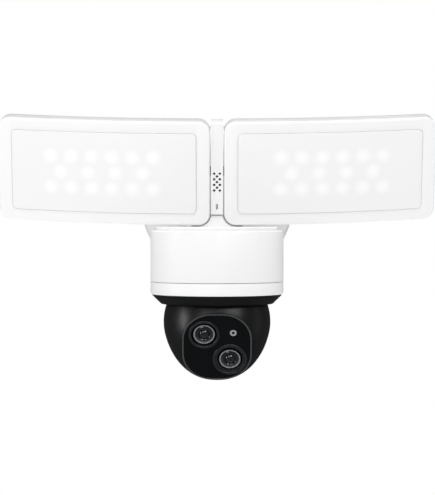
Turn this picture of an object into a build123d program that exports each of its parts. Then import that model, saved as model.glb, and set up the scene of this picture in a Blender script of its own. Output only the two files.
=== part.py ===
from build123d import *
import math
import os

# A wall-mounted floodlight security camera: two curved light panels on a common pivot, and below them a fixed
# drum that carries a panning collar and a tilting camera ball with a wide and a telephoto lens.
#
# Frame: millimetres, +Z up, origin at the centre of the wall face, the wall is the plane Y = 0 and the camera
# looks towards -Y. Right is +X, as seen by someone who stands in front of the camera.

os.makedirs("parts", exist_ok=True)

# ---------------------------------------------------------------- driving dimensions

RUN = 0.05  # radial clearance of a running fit
GAP = 0.3  # gap between pieces that pass each other

# Wall base
BASE_R = 66.0
BASE_DEPTH = 30.0
BASE_WALL = 3.0
GASKET_T = 3.0
PLATE_T = 2.0
BOX_SCREW_SPACING = 88.9
BOX_HOLE_R = 2.4
BASE_SCREW_X = 27.0

# Arm and spine
ARM_END_Y = -58.0
SPINE_FRONT_Y = -80.0
SPINE_HALF_X = 23.0
SPINE_TOP = 58.0
RIDGE_HALF_X = 5.0
CAP_R = 49.0  # low cap of the spine over the drum
CAP_H = 2.9
CAP_EDGE = 1.2
SADDLE_HALF_X = 15.3  # flared foot of the ridge, clear of the panels' corners as they tilt
SADDLE_TOP = -12.4
SADDLE_FRONT_Y = -112.0

# Light panels, in the panel frame: x along the wing, v up the panel, b backwards from the pivot
PIVOT_Y = -107.8
PIVOT_Z = 24.1
PANEL_PITCH = 12.0
PANEL_FRONT = 14.5
PANEL_DEPTH = 24.0
PANEL_SIDE_DEPTH = 17.0
PANEL_IN = 5.8
PANEL_OUT = 178.0
PANEL_H = 84.4
PANEL_ARC = 560.0
PANEL_CORNER = 9.5
PANEL_WALL = 2.5
BEZEL_T = 5.0
WINDOW_H = 65.5
WINDOW_IN = 16.6
WINDOW_OUT = 167.0
WINDOW_CORNER = 4.0
TUBE_R = 4.0
TUBE_BORE_R = 2.6
TUBE_HALF = 30.0
BLOCK_IN = 10.5
BLOCK_OUT = 24.0
BLOCK_FRONT = 8.0
BLOCK_BACK = 20.5
BLOCK_H = 32.0
LED_PITCH = 16.8
LED_ROW = 12.8

# Drum and pan drive
DRUM_Y = -116.0
DRUM_R = 53.5
DRUM_WALL = 3.0
DRUM_TOP = -24.1
SEAM_Z = -64.8
DRUM_BOTTOM = -75.2
COLLAR_BOTTOM = -82.9
COLLAR_TOP_R = 52.4
COLLAR_BOTTOM_R = 44.9
COLLAR_BORE_R = 43.6
SKIRT_R = 46.4
BUTTON_Z = -38.0
BUTTON_TURN = 42.0
TABLE_TOP = -49.0
TABLE_T = 3.0
TABLE_R = 49.6
PAN_MODULE = 0.8
PAN_TEETH = 75
PAN_PINION_TEETH = 15

# Camera ball, in the face frame: s forwards along the face normal, u up the face
BALL_Z = -97.2
BALL_R = 43.0
BALL_WALL = 2.5
FACE_PITCH = 26.0
FACE_S = 34.0
FACE_DROP = 4.15
FACE_HALF_X = 28.2
FACE_HALF_U = 30.45
SPLIT_S = 8.0
SLOT_FROM = 56.0
SLOT_TO = 134.0
STEM_T = 9.0
STEM_HALF_X = 12.0
AXLE_R = 3.0
TILT_MODULE = 0.75
TILT_TEETH = 36
TILT_PINION_TEETH = 12
TILT_REACH = TILT_MODULE * (TILT_TEETH + TILT_PINION_TEETH) / 2
MOTOR_DOWN = 25.0
WIDE_AT = (-10.2, 11.2)
TELE_AT = (10.2, -11.2)
WIDE_R = 12.5
TELE_R = 13.9
LENS_R = 9.0
SENSOR_AT = (12.8, 12.7)

# ---------------------------------------------------------------- frames

pitch = math.radians(PANEL_PITCH)
panel_normal = Vector(0, -math.cos(pitch), -math.sin(pitch))
panel_up = Vector(0, -math.sin(pitch), math.cos(pitch))
PIVOT = Vector(0, PIVOT_Y, PIVOT_Z)
# x along the wing, y up the panel, z out of its front
PANEL_FACE = Plane(origin=PIVOT, x_dir=(1, 0, 0), z_dir=panel_normal)
# x along the wing, y backwards, z up the panel
PANEL_PLAN = Plane(origin=PIVOT, x_dir=(1, 0, 0), z_dir=panel_up)

BALL_CENTRE = Vector(0, DRUM_Y, BALL_Z)
face_pitch = math.radians(FACE_PITCH)
face_normal = Vector(0, -math.cos(face_pitch), -math.sin(face_pitch))
face_up = Vector(0, -math.sin(face_pitch), math.cos(face_pitch))
# x to the right, y up the face, z out of the face, origin on the tilt axis
FACE = Plane(origin=BALL_CENTRE, x_dir=(1, 0, 0), z_dir=face_normal)
# the same directions, with the origin at the middle of the face
FACE_MIDDLE = Plane(
    origin=BALL_CENTRE + face_normal * FACE_S - face_up * FACE_DROP, x_dir=(1, 0, 0), z_dir=face_normal
)

DRUM = Location((0, DRUM_Y, 0))
# axis of the set-up button, level and out through the drum's wall at the back right
button_turn = math.radians(BUTTON_TURN)
BUTTON = Plane(
    origin=(0, DRUM_Y, BUTTON_Z), x_dir=(0, 0, 1), z_dir=(math.sin(button_turn), math.cos(button_turn), 0)
)
BUTTON_AXIS = Axis(BUTTON.origin, BUTTON.z_dir)

finished = {}


def keep(part, name):
    """Label a finished piece and write it to its own STEP file."""
    part.label = name
    finished[name] = part
    export_step(part, f"parts/{name}.step")


def level(z):
    """A horizontal plane at height z on the pan axis."""
    return Plane.XY.offset(z).move(DRUM)


def across(x):
    """A plane across the tilt axis at x, facing +X, with its y axis up."""
    return Plane(origin=(x, DRUM_Y, BALL_Z), x_dir=(0, 1, 0), z_dir=(1, 0, 0))


def motor_seat():
    """A plane on the tilt axis that faces the tilt motor, which sits behind the axle and below it."""
    down = math.radians(MOTOR_DOWN)
    return Plane(origin=BALL_CENTRE, x_dir=(1, 0, 0), z_dir=(0, math.cos(down), -math.sin(down)))


def motor_across():
    """A plane across the tilt motor's axis, facing +X, with its y axis up."""
    return Plane(origin=motor_seat().offset(TILT_REACH).origin, x_dir=(0, 1, 0), z_dir=(1, 0, 0))


# ---------------------------------------------------------------- wall base


def wall_base():
    back = Plane(origin=(0, 0, 0), x_dir=(1, 0, 0), z_dir=(0, -1, 0))  # z runs out of the wall

    with BuildPart() as gasket:
        with BuildSketch(back):
            Circle(BASE_R - 1)
            Circle(BASE_R - 9, mode=Mode.SUBTRACT)
        extrude(amount=GASKET_T)
    keep(gasket.part, "wall_gasket")

    with BuildPart() as base:
        with BuildSketch(Plane.XY) as profile:
            with BuildLine():
                Polyline(
                    (0, -BASE_DEPTH),
                    (BASE_R - 9, -BASE_DEPTH),
                    (BASE_R - 2, -BASE_DEPTH + 9),
                    (BASE_R, -GASKET_T),
                    (0, -GASKET_T),
                    close=True,
                )
            make_face()
        revolve(axis=Axis.Y)
        fillet(base.edges().filter_by(GeomType.CIRCLE).group_by(Axis.Y)[0], 5)
        offset(openings=base.faces().sort_by(Axis.Y)[-1], amount=-BASE_WALL)
        with BuildSketch(back.offset(BASE_DEPTH)):
            Circle(9)
            with Locations((-BASE_SCREW_X, -38), (BASE_SCREW_X, -38)):
                Circle(2.6)
            with GridLocations(44, 36, 2, 2):
                Circle(2.2)
        extrude(amount=-BASE_WALL - 1, mode=Mode.SUBTRACT)
        # weep hole at the lowest point
        with Locations(Location((0, -10, -BASE_R + 2))):
            Cylinder(2, 10, mode=Mode.SUBTRACT)
    keep(base.part, "base_housing")

    # Crossbar that is screwed to the wall box first, with two bosses that take the base's own screws
    with BuildPart() as plate:
        with BuildSketch(back):
            SlotOverall(112, 26)
            with Locations((-BASE_SCREW_X, -38), (BASE_SCREW_X, -38)):
                Circle(6)
            with Locations((-BASE_SCREW_X, -24), (BASE_SCREW_X, -24)):
                Rectangle(10, 26)
            with GridLocations(BOX_SCREW_SPACING, 0, 2, 1):
                Circle(BOX_HOLE_R, mode=Mode.SUBTRACT)
            with GridLocations(70, 0, 2, 1):
                SlotOverall(9, 4.8, mode=Mode.SUBTRACT)
            Circle(7.5, mode=Mode.SUBTRACT)
        extrude(amount=PLATE_T)
        with BuildSketch(back.offset(PLATE_T)):
            with Locations((-BASE_SCREW_X, -38), (BASE_SCREW_X, -38)):
                Circle(5)
        extrude(amount=BASE_DEPTH - BASE_WALL - PLATE_T)
        with BuildSketch(back.offset(BASE_DEPTH - BASE_WALL)):
            with Locations((-BASE_SCREW_X, -38), (BASE_SCREW_X, -38)):
                Circle(2.05)
        extrude(amount=-14, mode=Mode.SUBTRACT)
    keep(plate.part, "mounting_plate")

    with BuildPart() as screws:
        with BuildSketch(back.offset(BASE_DEPTH)):
            with Locations((-BASE_SCREW_X, -38), (BASE_SCREW_X, -38)):
                Circle(4.6)
        extrude(amount=2.4)
        fillet(screws.edges().group_by(Axis.Y)[0], 1.2)
        with BuildSketch(back.offset(BASE_DEPTH)):
            with Locations((-BASE_SCREW_X, -38), (BASE_SCREW_X, -38)):
                Circle(2.0)
        extrude(amount=-13)
        with BuildSketch(back.offset(BASE_DEPTH + 2.4)):
            with Locations((-BASE_SCREW_X, -38), (BASE_SCREW_X, -38)):
                Rectangle(5.2, 1.1)
                Rectangle(1.1, 5.2)
        extrude(amount=-1.3, mode=Mode.SUBTRACT)
    keep(screws.part, "base_screws")

    # Rubber bush around the wires where they pass into the arm
    with BuildPart() as grommet:
        with BuildSketch(back.offset(BASE_DEPTH - BASE_WALL - 2)):
            Circle(11.5)
        extrude(amount=2)
        with BuildSketch(back.offset(BASE_DEPTH - BASE_WALL)):
            Circle(9)
        extrude(amount=BASE_WALL)
        with BuildSketch(back.offset(BASE_DEPTH)):
            Circle(6)
        extrude(amount=-BASE_WALL - 2, mode=Mode.SUBTRACT)
    keep(grommet.part, "cable_grommet")

    # Three-way push-in connector for the supply wires, on the inside of the base's front wall
    with BuildPart() as terminal:
        with BuildSketch(back.offset(BASE_DEPTH - BASE_WALL)):
            with Locations((0, 36)):
                RectangleRounded(32, 14, 1)
        extrude(amount=-13)
        with BuildSketch(back.offset(BASE_DEPTH - BASE_WALL - 13)):
            with Locations((0, 36)):
                with GridLocations(9.5, 0, 3, 1):
                    Circle(2.2)
        extrude(amount=8, mode=Mode.SUBTRACT)
    keep(terminal.part, "terminal_block")

    with BuildPart() as ground:
        with BuildSketch(back.offset(PLATE_T)):
            with Locations((0, 10)):
                RegularPolygon(3.2, 6)
        extrude(amount=2.6)
        with BuildSketch(back.offset(PLATE_T + 2.6)):
            with Locations((0, 10)):
                Rectangle(4.5, 0.9)
        extrude(amount=-1, mode=Mode.SUBTRACT)
    keep(ground.part, "ground_screw")


# ---------------------------------------------------------------- arm and spine


def arm_and_spine():
    out = Plane(origin=(0, -BASE_DEPTH, 0), x_dir=(1, 0, 0), z_dir=(0, -1, 0))
    arm_length = -ARM_END_Y - BASE_DEPTH
    spine_mid = (SPINE_TOP + DRUM_TOP) / 2
    spine_h = SPINE_TOP - DRUM_TOP

    with BuildPart() as arm:
        with BuildSketch(out):
            RectangleRounded(64, 54, 20)
        with BuildSketch(out.offset(arm_length)):
            with Locations((0, spine_mid)):
                RectangleRounded(2 * SPINE_HALF_X, spine_h, 8)
        loft()
        # inside: a wire passage, closed towards the spine by a 3 mm wall with its own hole
        with BuildSketch(out):
            RectangleRounded(38, 28, 10)
        with BuildSketch(out.offset(arm_length - 3)):
            with Locations((0, spine_mid)):
                RectangleRounded(2 * SPINE_HALF_X - 8, 50, 6)
        loft(mode=Mode.SUBTRACT)
        with BuildSketch(out.offset(arm_length)):
            with Locations((0, spine_mid)):
                Circle(6)
                with GridLocations(2 * SPINE_HALF_X - 11, spine_h - 11, 2, 2):
                    Circle(1.7)
        extrude(amount=-3.5, mode=Mode.SUBTRACT)
        with BuildSketch(out):
            with GridLocations(44, 36, 2, 2):
                Circle(1.6)
        extrude(amount=9, mode=Mode.SUBTRACT)
    keep(arm.part, "arm_housing")

    # Spine: a box behind the panels and a thin ridge that runs forward between them
    front = Plane(origin=(0, ARM_END_Y, 0), x_dir=(1, 0, 0), z_dir=(0, -1, 0))
    box_depth = ARM_END_Y - SPINE_FRONT_Y
    with BuildPart() as spine:
        with BuildSketch(front):
            with Locations((0, spine_mid)):
                RectangleRounded(2 * SPINE_HALF_X, spine_h, 8)
        extrude(amount=box_depth)
        fillet(spine.edges().group_by(Axis.Y)[0], 3)
        with BuildSketch(Plane(origin=(-RIDGE_HALF_X, 0, 0), x_dir=(0, 1, 0), z_dir=(1, 0, 0))):
            with BuildLine():
                top = PIVOT + panel_up * (PANEL_H / 2 - 0.6) + panel_normal * (PANEL_FRONT - 5)
                back = PIVOT + panel_up * (PANEL_H / 2 - 0.6) - panel_normal * (PANEL_DEPTH - PANEL_FRONT - 4)
                low = PIVOT - panel_up * 34.5 + panel_normal * (PANEL_FRONT - 5)
                Polyline(
                    (SPINE_FRONT_Y + 1, DRUM_TOP),
                    (low.Y, DRUM_TOP),
                    (low.Y, low.Z),
                    (top.Y, top.Z),
                    (back.Y, back.Z),
                    (SPINE_FRONT_Y + 1, SPINE_TOP - 14),
                    close=True,
                )
            make_face()
        extrude(amount=2 * RIDGE_HALF_X)
        # cap over the drum's top
        with BuildSketch(Plane(origin=(0, DRUM_Y, DRUM_TOP), x_dir=(1, 0, 0), z_dir=(0, -1, 0))):
            with BuildLine():
                Polyline((CAP_R - CAP_EDGE, CAP_H), (0, CAP_H), (0, 0), (CAP_R, 0), (CAP_R, CAP_H - CAP_EDGE))
                RadiusArc((CAP_R, CAP_H - CAP_EDGE), (CAP_R - CAP_EDGE, CAP_H), -CAP_EDGE)
            make_face()
        revolve(axis=Axis((0, DRUM_Y, 0), (0, 0, 1)))
        # saddle: the ridge's foot flares out on the cap, under the panels' rounded corners
        with BuildSketch(Plane(origin=(0, SPINE_FRONT_Y + 1, 0), x_dir=(1, 0, 0), z_dir=(0, -1, 0))):
            with BuildLine():
                neck = RIDGE_HALF_X - 0.4
                foot = DRUM_TOP + CAP_H
                Polyline((-SADDLE_HALF_X, foot), (-SADDLE_HALF_X, foot - 1), (SADDLE_HALF_X, foot - 1), (SADDLE_HALF_X, foot))
                ThreePointArc((SADDLE_HALF_X, foot), (8.1, foot + 2.85), (neck, SADDLE_TOP))
                Line((neck, SADDLE_TOP), (-neck, SADDLE_TOP))
                ThreePointArc((-neck, SADDLE_TOP), (-8.1, foot + 2.85), (-SADDLE_HALF_X, foot))
            make_face()
        extrude(amount=SPINE_FRONT_Y + 1 - SADDLE_FRONT_Y)
        # room for the supply board, open to the arm
        with BuildSketch(front):
            with Locations((0, spine_mid)):
                RectangleRounded(2 * SPINE_HALF_X - 6, spine_h - 22, 5)
        extrude(amount=box_depth - 3, mode=Mode.SUBTRACT)
        # sound duct from the speaker through the ridge to the grille
        with BuildSketch(Plane(origin=(-3.2, 0, 0), x_dir=(0, 1, 0), z_dir=(1, 0, 0))):
            with BuildLine():
                mouth = PANEL_FRONT - 5
                a = PIVOT + panel_up * 4 + panel_normal * (mouth + 1)
                b = PIVOT - panel_up * 17 + panel_normal * (mouth + 1)
                c = PIVOT - panel_up * 17 + panel_normal * (mouth - 6)
                e = PIVOT + panel_up * 4 + panel_normal * (mouth - 3)
                f = PIVOT - panel_up * 8 + panel_normal * (mouth - 3)
                Polyline(
                    (a.Y, a.Z),
                    (b.Y, b.Z),
                    (c.Y, c.Z),
                    (SPINE_FRONT_Y + 4, c.Z),
                    (SPINE_FRONT_Y + 4, f.Z),
                    (f.Y, f.Z),
                    (e.Y, e.Z),
                    close=True,
                )
            make_face()
        extrude(amount=6.4, mode=Mode.SUBTRACT)
        # seat of the pivot tube
        with Locations(Location(tuple(PIVOT), (0, 90, 0))):
            Cylinder(TUBE_R, 4 * RIDGE_HALF_X, mode=Mode.SUBTRACT)
        # screw holes towards the arm, and wires down into the drum
        with BuildSketch(front):
            with Locations((0, spine_mid)):
                with GridLocations(2 * SPINE_HALF_X - 11, spine_h - 11, 2, 2):
                    Circle(1.3)
        extrude(amount=9, mode=Mode.SUBTRACT)
        with Locations(Location((0, -70, DRUM_TOP))):
            Cylinder(5, 30, mode=Mode.SUBTRACT)
        with Locations((-15, -72, DRUM_TOP), (15, -72, DRUM_TOP)):
            Cylinder(1.3, 16, mode=Mode.SUBTRACT)
    keep(spine.part, "spine_housing")

    # screws from the base into the arm, from the arm into the spine and from the drum up into the spine
    with BuildPart() as screws:
        with BuildSketch(out.offset(-BASE_WALL)):
            with GridLocations(44, 36, 2, 2):
                Circle(3.8)
        extrude(amount=-2.2)
        with BuildSketch(out.offset(-BASE_WALL)):
            with GridLocations(44, 36, 2, 2):
                Circle(1.55)
        extrude(amount=11)
        with BuildSketch(front.offset(-3)):
            with Locations((0, spine_mid)):
                with GridLocations(2 * SPINE_HALF_X - 11, spine_h - 11, 2, 2):
                    Circle(1.25)
        extrude(amount=11)
        with Locations((-15, -72, DRUM_TOP - DRUM_WALL - 1), (15, -72, DRUM_TOP - DRUM_WALL - 1)):
            Cylinder(3, 2)
        with Locations((-15, -72, DRUM_TOP), (15, -72, DRUM_TOP)):
            Cylinder(1.25, 12)
    keep(screws.part, "housing_screws")

    # Grille strip between the panels, with the speaker holes and one microphone port
    strip_top = PANEL_H / 2 - 0.6
    strip_low = -33.4
    strip_mid = (strip_top + strip_low) / 2
    strip_w = 2 * RIDGE_HALF_X
    with BuildPart() as strip:
        with BuildSketch(PANEL_FACE.offset(PANEL_FRONT - 5)):
            with Locations((0, strip_mid)):
                Rectangle(strip_w, strip_top - strip_low)
        extrude(amount=3.2)
        ends = strip.edges().filter_by(Axis.X)
        fillet(ends.group_by(Axis.Y)[0].sort_by(Axis.Z)[-1:], 1.5)
        chamfer(strip.edges().filter_by(Axis.X).sort_by(lambda e: (e.center() - PIVOT).dot(panel_up))[:1], 1.5)
        with BuildSketch(PANEL_FACE.offset(PANEL_FRONT)):
            with Locations((0, -6.9)):
                with GridLocations(4.6, 4.6, 2, 4):
                    Circle(1.05)
                with GridLocations(4.6, 4.6, 1, 3):
                    Circle(1.05)
            with Locations((0, -27)):
                SlotOverall(5, 1.6, rotation=90)
        extrude(amount=-10, mode=Mode.SUBTRACT)
    keep(strip.part, "grille_strip")

    with BuildPart() as mesh:
        with BuildSketch(PANEL_FACE.offset(PANEL_FRONT - 5)):
            with Locations((0, -6.9)):
                Rectangle(6.2, 19)
        extrude(amount=-0.5)
    keep(mesh.part, "speaker_mesh")

    speaker_z = (PIVOT - panel_up * 12.5).Z
    with BuildPart() as speaker:
        with BuildSketch(Plane(origin=(0, SPINE_FRONT_Y + 3, speaker_z), x_dir=(1, 0, 0), z_dir=(0, 1, 0))):
            RectangleRounded(22, 34, 9)
        extrude(amount=3.5)
        with BuildSketch(Plane(origin=(0, SPINE_FRONT_Y + 6.5, speaker_z), x_dir=(1, 0, 0), z_dir=(0, 1, 0))):
            Circle(8)
        extrude(amount=3)
    keep(speaker.part, "speaker")

    board_y = ARM_END_Y - 3.5
    with BuildPart() as board:
        with BuildSketch(Plane(origin=(0, board_y, spine_mid), x_dir=(1, 0, 0), z_dir=(0, -1, 0))):
            RectangleRounded(36, 58, 1)
            Circle(6, mode=Mode.SUBTRACT)
        extrude(amount=1.6)
    keep(board.part, "power_board")

    with BuildPart() as transformer:
        with BuildSketch(Plane(origin=(0, board_y - 1.6, spine_mid + 20.6), x_dir=(1, 0, 0), z_dir=(0, -1, 0))):
            RectangleRounded(20, 17, 1)
        extrude(amount=11)
        with BuildSketch(Plane(origin=(0, board_y - 1.6, spine_mid + 20.6), x_dir=(1, 0, 0), z_dir=(0, -1, 0))):
            Rectangle(26, 10)
        extrude(amount=8)
    keep(transformer.part, "transformer")

    with BuildPart() as capacitors:
        with BuildSketch(Plane(origin=(0, board_y - 1.6, spine_mid - 20), x_dir=(1, 0, 0), z_dir=(0, -1, 0))):
            with GridLocations(12, 0, 2, 1):
                Circle(4)
        extrude(amount=6.8)
    keep(capacitors.part, "capacitors")


# ---------------------------------------------------------------- light panels


def wing_point(x, depth):
    """A point of the plan sketch at this x and this depth behind the wing's front surface."""
    r = PANEL_ARC - depth
    return (x, -PANEL_FRONT + PANEL_ARC - math.sqrt(r * r - (x - PANEL_IN) ** 2))


def wing_slab(depth_a, depth_b, x_in, x_out):
    """Plan sketch, just under the panel, of a slab that follows the wing's curve between two depths."""
    mid = (x_in + x_out) / 2
    with BuildSketch(PANEL_PLAN.offset(-PANEL_H / 2 - 4)) as slab:
        with BuildLine():
            ThreePointArc(wing_point(x_in, depth_a), wing_point(mid, depth_a), wing_point(x_out, depth_a))
            Line(wing_point(x_out, depth_a), wing_point(x_out, depth_b))
            ThreePointArc(wing_point(x_out, depth_b), wing_point(mid, depth_b), wing_point(x_in, depth_b))
            Line(wing_point(x_in, depth_b), wing_point(x_in, depth_a))
        make_face()
    return slab.sketch


def wing_piece(depth_a, depth_b, x_in, x_out, height, corner):
    """A curved plate: the slab between two depths, cut to a rounded rectangle seen from the front."""
    with BuildPart() as piece:
        extrude(wing_slab(depth_a, depth_b, x_in - 4, x_out + 4), amount=PANEL_H + 8, dir=panel_up)
        with BuildSketch(PANEL_FACE.offset(-60)):
            with Locations(((x_in + x_out) / 2, 0)):
                RectangleRounded(x_out - x_in, height, corner)
        extrude(amount=90, mode=Mode.INTERSECT)
    return piece.part


def light_panel(side):
    """All the pieces of the right-hand panel; the left-hand one is its mirror image."""

    def keep_side(part, name):
        keep(part if side == "right" else mirror(part, about=Plane.YZ), f"{side}_{name}")

    window_mid = (WINDOW_IN + WINDOW_OUT) / 2
    window_w = WINDOW_OUT - WINDOW_IN
    rim_in = PANEL_IN + PANEL_WALL
    rim_out = PANEL_OUT - PANEL_WALL
    screw_x = (PANEL_IN + 16, (PANEL_IN + PANEL_OUT) / 2, PANEL_OUT - 16)
    screw_v = 34.4

    with BuildPart() as bezel:
        add(wing_piece(0, BEZEL_T, PANEL_IN, PANEL_OUT, PANEL_H, PANEL_CORNER))
        front_face = bezel.faces().filter_by(GeomType.CYLINDER).sort_by(lambda f: f.radius)[-1]
        fillet(front_face.edges(), 1.8)
        with BuildSketch(PANEL_FACE.offset(-60)):
            with Locations((window_mid, 0)):
                RectangleRounded(window_w, WINDOW_H, WINDOW_CORNER)
        extrude(amount=90, mode=Mode.SUBTRACT)
    keep_side(bezel.part, "bezel")

    with BuildPart() as diffuser:
        add(wing_piece(-0.5, BEZEL_T, WINDOW_IN + 0.2, WINDOW_OUT - 0.2, WINDOW_H - 0.4, WINDOW_CORNER - 0.2))
        front_face = diffuser.faces().filter_by(GeomType.CYLINDER).sort_by(lambda f: f.radius)[-1]
        fillet(front_face.edges(), 0.4)
        add(wing_piece(BEZEL_T, BEZEL_T + 1.8, rim_in + 1, rim_out - 1, PANEL_H - 7.5, PANEL_CORNER - 3.5))
        add(
            wing_piece(1.8, BEZEL_T + 2, WINDOW_IN + 2, WINDOW_OUT - 2, WINDOW_H - 4, WINDOW_CORNER - 1.5),
            mode=Mode.SUBTRACT,
        )
    keep_side(diffuser.part, "diffuser")

    with BuildPart() as seal:
        add(wing_piece(BEZEL_T + 1.8, BEZEL_T + 3, rim_in + 1, rim_out - 1, PANEL_H - 7.5, PANEL_CORNER - 3.5))
        add(
            wing_piece(BEZEL_T + 1, BEZEL_T + 4, rim_in + 4, rim_out - 4, PANEL_H - 13.5, PANEL_CORNER - 5.5),
            mode=Mode.SUBTRACT,
        )
    keep_side(seal.part, "panel_seal")

    # Rear shell: a tray with cooling fins on its back and a hole for the pivot tube in its inner end
    with BuildPart() as shell:
        add(wing_piece(BEZEL_T, PANEL_DEPTH, PANEL_IN, PANEL_OUT, PANEL_H, PANEL_CORNER))
        back_face = shell.faces().filter_by(GeomType.CYLINDER).sort_by(lambda f: f.radius)[-2]
        chamfer(back_face.edges(), 5)
        fillet(shell.faces().filter_by(GeomType.CYLINDER).sort_by(lambda f: f.radius)[-2].edges(), 2)
        add(
            wing_piece(BEZEL_T - 1, BEZEL_T + 3, rim_in, rim_out, PANEL_H - 5, PANEL_CORNER - 2.5),
            mode=Mode.SUBTRACT,
        )
        add(
            wing_piece(BEZEL_T, PANEL_SIDE_DEPTH, rim_in + 2, rim_out - 2, PANEL_H - 10, PANEL_CORNER - 4),
            mode=Mode.SUBTRACT,
        )
        add(
            wing_piece(BEZEL_T, PANEL_DEPTH - PANEL_WALL, rim_in + 6, rim_out - 6, PANEL_H - 20, 5),
            mode=Mode.SUBTRACT,
        )
        for v in (-24, -16, -8, 0, 8, 16, 24):
            add(wing_rib(v))
        add(wing_piece(BLOCK_FRONT, BLOCK_BACK, BLOCK_IN, BLOCK_OUT, BLOCK_H, 0.5), mode=Mode.SUBTRACT)
        with Locations(Location(tuple(PIVOT + Vector(PANEL_IN, 0, 0)), (0, 90, 0))):
            Cylinder(TUBE_R + 1, 12, mode=Mode.SUBTRACT)
        for x in screw_x:
            with BuildSketch(PANEL_FACE.offset(2 - wing_point(x, PANEL_DEPTH)[1])):
                with Locations((x, screw_v), (x, -screw_v)):
                    Circle(3.1)
            extrude(amount=-14, mode=Mode.SUBTRACT)
    keep_side(shell.part, "rear_shell")

    # Light board behind the window, square to the middle of the wing
    lean = math.asin((window_mid - PANEL_IN) / PANEL_ARC)
    along = Vector(math.cos(lean), 0, 0) - panel_normal * math.sin(lean)
    outward = Vector(math.sin(lean), 0, 0) + panel_normal * math.cos(lean)
    board_at = PIVOT + Vector(window_mid, 0, 0) - panel_normal * wing_point(window_mid, 12.5)[1]
    board_plane = Plane(origin=board_at, x_dir=along, z_dir=outward)
    with BuildPart() as board:
        with BuildSketch(board_plane):
            RectangleRounded(122, 52, 2)
        extrude(amount=-1.6)
        with BuildSketch(board_plane):
            with GridLocations(112, 42, 2, 2):
                Circle(1.6)
        extrude(amount=-2, mode=Mode.SUBTRACT)
    keep_side(board.part, "led_board")

    with BuildPart() as leds:
        with BuildSketch(board_plane):
            with Locations((0, LED_ROW), (0, -LED_ROW)):
                with GridLocations(LED_PITCH, 0, 6, 1):
                    Rectangle(5, 5)
            with GridLocations(LED_PITCH * 4 / 3, 0, 4, 1):
                Rectangle(5, 5)
        extrude(amount=1.2)
        with BuildSketch(board_plane.offset(1.2)):
            with Locations((0, LED_ROW), (0, -LED_ROW)):
                with GridLocations(LED_PITCH, 0, 6, 1):
                    Circle(2.2)
            with GridLocations(LED_PITCH * 4 / 3, 0, 4, 1):
                Circle(2.2)
        extrude(amount=0.8, taper=25)
    keep_side(leds.part, "leds")

    # Screws that hold the shell to the bezel, from behind, in sunk holes along its edges
    with BuildPart() as screws:
        for x in screw_x:
            with BuildSketch(PANEL_FACE.offset(2 - wing_point(x, PANEL_DEPTH)[1])):
                with Locations((x, screw_v), (x, -screw_v)):
                    Circle(2.9)
            extrude(amount=-1.2)
    keep_side(screws.part, "panel_screws")

    # Hinge block inside the panel's inner end, which turns on the pivot tube
    with BuildPart() as block:
        with BuildSketch(Plane(origin=PIVOT + Vector(BLOCK_IN, 0, 0), x_dir=panel_up, z_dir=(1, 0, 0))):
            Rectangle(BLOCK_H, 40)
            Circle(TUBE_R + RUN, mode=Mode.SUBTRACT)
        extrude(amount=BLOCK_OUT - BLOCK_IN)
        add(wing_piece(BLOCK_FRONT, BLOCK_BACK, BLOCK_IN, BLOCK_OUT, BLOCK_H, 0.5), mode=Mode.INTERSECT)
    keep_side(block.part, "hinge_block")


def wing_rib(v):
    """One cooling fin along the back of the wing, at height v."""
    x_in, x_out = 44, PANEL_OUT - 14
    with BuildPart() as rib:
        extrude(wing_slab(PANEL_DEPTH - 1, PANEL_DEPTH + 5, x_in - 4, x_out + 4), amount=PANEL_H, dir=panel_up)
        with BuildSketch(PANEL_FACE.offset(-70)):
            with Locations(((x_in + x_out) / 2, v)):
                Rectangle(x_out - x_in, 1.8)
        extrude(amount=90, mode=Mode.INTERSECT)
    return rib.part


def panel_pivot():
    """The tube through the ridge that both panels turn on, with its washers and nuts."""
    start = Plane(origin=PIVOT - Vector(TUBE_HALF, 0, 0), x_dir=panel_up, z_dir=(1, 0, 0))
    with BuildPart() as tube:
        with BuildSketch(start):
            Circle(TUBE_R)
            Circle(TUBE_BORE_R, mode=Mode.SUBTRACT)
        extrude(amount=2 * TUBE_HALF)
    keep(tube.part, "pivot_tube")

    with BuildPart() as washers:
        with BuildSketch(Plane(origin=PIVOT + Vector(BLOCK_OUT + 0.1, 0, 0), x_dir=panel_up, z_dir=(1, 0, 0))):
            Circle(6.2)
            Circle(TUBE_R, mode=Mode.SUBTRACT)
        extrude(amount=1.4)
        mirror(about=Plane.YZ)
    keep(washers.part, "friction_washers")

    with BuildPart() as nuts:
        with BuildSketch(Plane(origin=PIVOT + Vector(BLOCK_OUT + 1.5, 0, 0), x_dir=panel_up, z_dir=(1, 0, 0))):
            RegularPolygon(6.4, 6)
            Circle(TUBE_R, mode=Mode.SUBTRACT)
        extrude(amount=3.5)
        mirror(about=Plane.YZ)
    keep(nuts.part, "pivot_nuts")


# ---------------------------------------------------------------- gears


def involute(angle):
    return math.tan(angle) - angle


def gear_outline(teeth, module, turned):
    """Corner points of a spur gear with involute flanks and free backlash, one tooth centred on the angle turned."""
    pitch_r = teeth * module / 2
    base_r = pitch_r * math.cos(math.radians(20))
    root_r = pitch_r - 1.25 * module
    tip_r = pitch_r + 0.9 * module
    half_pitch = math.pi / (2 * teeth) * 0.86 + involute(math.radians(20))
    radii = [max(root_r, base_r), pitch_r, (pitch_r + tip_r) / 2, tip_r]
    flank = [(r, half_pitch - involute(math.acos(min(1.0, base_r / r)))) for r in radii]
    flank.insert(0, (root_r, flank[0][1] * 1.04))
    points = []
    for n in range(teeth):
        middle = math.radians(turned) + 2 * math.pi * n / teeth
        points += [(r * math.cos(middle - a), r * math.sin(middle - a)) for r, a in flank]
        points += [(r * math.cos(middle + a), r * math.sin(middle + a)) for r, a in reversed(flank)]
    return points


# ---------------------------------------------------------------- drum and pan drive


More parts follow.
